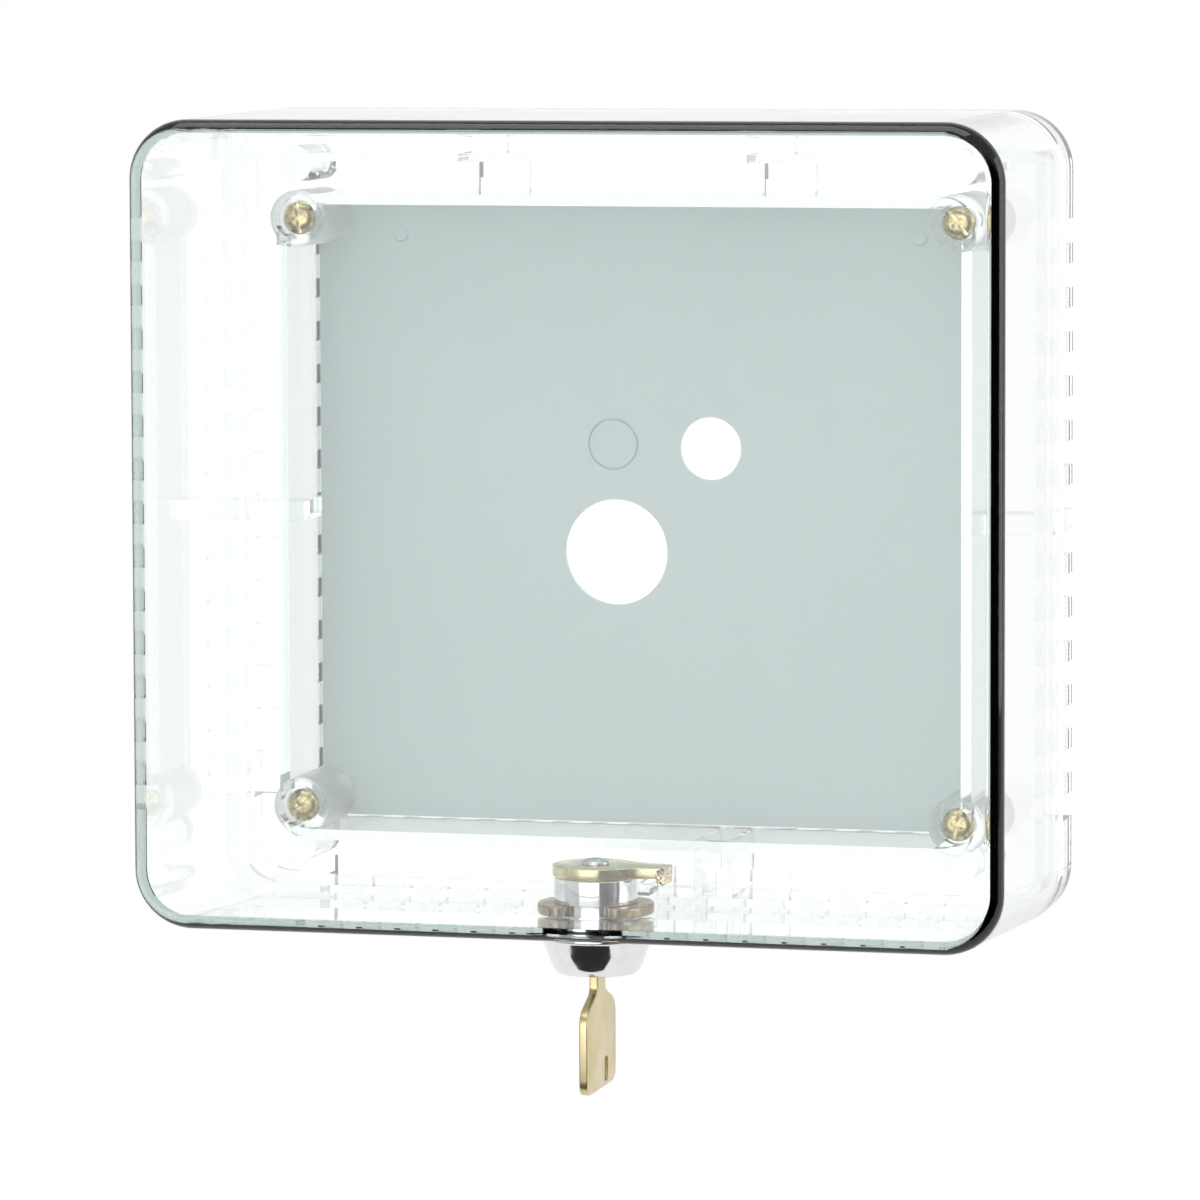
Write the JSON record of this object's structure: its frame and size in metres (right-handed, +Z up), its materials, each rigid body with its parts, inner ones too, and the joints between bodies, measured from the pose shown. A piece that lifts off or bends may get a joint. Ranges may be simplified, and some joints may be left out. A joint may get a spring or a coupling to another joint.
{
  "type": "thermostat lock box",
  "caption": "Clear locking guard box for a wall thermostat: hinged cover with cam lock and key, vented clear ring and opaque wall plate.",
  "frame": {"origin": "on the wall face, at the centre of the plate inside the ring", "axes": "-Y out of the wall towards the viewer, +Y into the wall, +Z up, +X to the viewer's right"},
  "size_m": [0.1872, 0.0894, 0.2075],
  "materials": {
    "plate_plastic": "pale grey-green, matt",
    "clear_plastic": "clear moulded plastic, gloss",
    "screw_brass": "yellow zinc, worn",
    "lock_chrome": "polished",
    "clip_brass": "tarnished",
    "plug_steel": "satin",
    "cam_brass": "yellow zinc, satin",
    "key_brass": "satin"
  },
  "bodies": {
    "base": {"wall_plate": "plate_plastic", "ring_base": "clear_plastic", "lock_keeper": "clear_plastic", "mounting_screws": "screw_brass"},
    "cover": {"cover_shell": "clear_plastic", "lock_housing": "lock_chrome", "lock_clip": "clip_brass"},
    "lock_barrel": {"lock_plug": "plug_steel", "lock_cam": "cam_brass", "cam_screw": "plug_steel"},
    "key": {"key": "key_brass"}
  },
  "joints": [
    {"name": "cover_hinge", "type": "hinge", "parent": "base", "child": "cover", "pos_m": [0, -0.0104, 0.0885], "axis": [-1, 0, 0], "range_deg": [0, 95]},
    {"name": "lock_turn", "type": "hinge", "parent": "cover", "child": "lock_barrel", "pos_m": [0, -0.0474, -0.0848], "axis": [0, 0, 1], "range_deg": [0, 90]},
    {"name": "key_slide", "type": "slide", "parent": "lock_barrel", "child": "key", "axis": [0, 0, -1], "range_m": [0, 0.028]}
  ]
}
